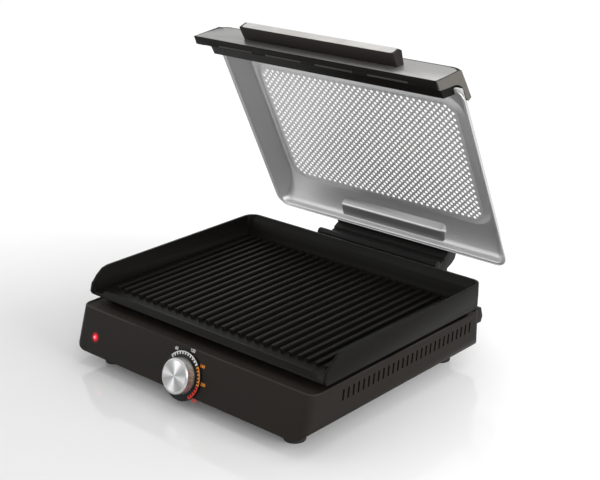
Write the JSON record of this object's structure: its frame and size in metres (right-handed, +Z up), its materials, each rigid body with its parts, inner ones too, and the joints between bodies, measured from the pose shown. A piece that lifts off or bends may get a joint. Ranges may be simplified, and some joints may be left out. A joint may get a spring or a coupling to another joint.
{
  "type": "electric indoor grill",
  "caption": "Countertop electric grill: ribbed plate with flared walls on a low base, sloping front with a round knob, perforated steel lid on a rear hinge, long front handle.",
  "frame": {"origin": "on the table, under the middle of the whole grill with its lid open; the middle of the base lies 24.3 mm in front of it", "axes": "+Z up, +X to the user's right, +Y to the back (the hinge side)"},
  "size_m": [0.407, 0.4366, 0.4149],
  "materials": {
    "housing": "fine-grained warm dark brown-grey moulding",
    "cover": "plain black moulding",
    "rail": "fine-grained dark moulding",
    "zinc": "zinc-plated",
    "foot": "black moulding",
    "foot_rubber": "matt black rubber",
    "support": "heat-resistant moulding",
    "dial": "gloss black with a printed scale from white through orange to red",
    "lens": "clear red",
    "holder": "natural nylon",
    "gland": "black rubber",
    "tray": "bright rolled sheet",
    "element": "heat-darkened sheath",
    "clip": "plain steel",
    "terminal": "plated brass",
    "cutout": "steatite",
    "thermostat": "steatite",
    "shaft": "turned steel",
    "knob": "dark satin chrome",
    "cap": "spun face with fine rings",
    "block": "white moulding",
    "wire": "silicone sleeving",
    "plate": "black non-stick coating",
    "lid_steel": "satin pressed sheet",
    "panel": "satin perforated sheet",
    "hinge": "black moulding",
    "trim": "dark brown-grey moulding",
    "trim_plate": "graphite brushed sheet",
    "handle": "dark brown-black moulding",
    "strip": "satin off-white",
    "rest": "grey silicone"
  },
  "bodies": {
    "base": {"base_housing": "housing", "bottom_cover": "cover", "cover_screws": "zinc", "hinge_rail": "rail", "hinge_pins": "zinc", "feet": "foot", "foot_pads": "foot_rubber", "foot_screws": "zinc", "plate_supports": "support", "dial_disc": "dial", "lamp_lens": "lens", "lamp_holder": "holder", "cord_gland": "gland", "reflector_tray": "tray", "heating_element": "element", "element_clips": "clip", "terminal_plate": "clip", "terminal_tabs": "terminal", "thermal_cutout": "cutout", "thermostat_body": "thermostat", "thermostat_bracket": "zinc", "terminal_block": "block", "wiring": "wire", "cooking_plate": "plate"},
    "knob": {"knob_body": "knob", "knob_cap": "cap", "thermostat_shaft": "shaft"},
    "lid": {"lid_pan": "lid_steel", "perforated_panel": "panel", "hinge_block": "hinge", "hinge_block_screws": "zinc", "front_trim": "trim", "trim_plate": "trim_plate", "handle_bar": "handle", "handle_strip": "strip", "handle_screws": "zinc", "rest_strips": "rest"}
  },
  "joints": [
    {"name": "lid_hinge", "type": "hinge", "parent": "base", "child": "lid", "pos_m": [0.006, 0.1627, 0.0663], "axis": [-1, 0, 0], "range_deg": [-65.2, 24.8]},
    {"name": "knob_turn", "type": "hinge", "parent": "base", "child": "knob", "pos_m": [0, -0.19761, 0.039], "axis": [0, 0.9542, -0.299], "range_deg": [-170, 40]}
  ]
}
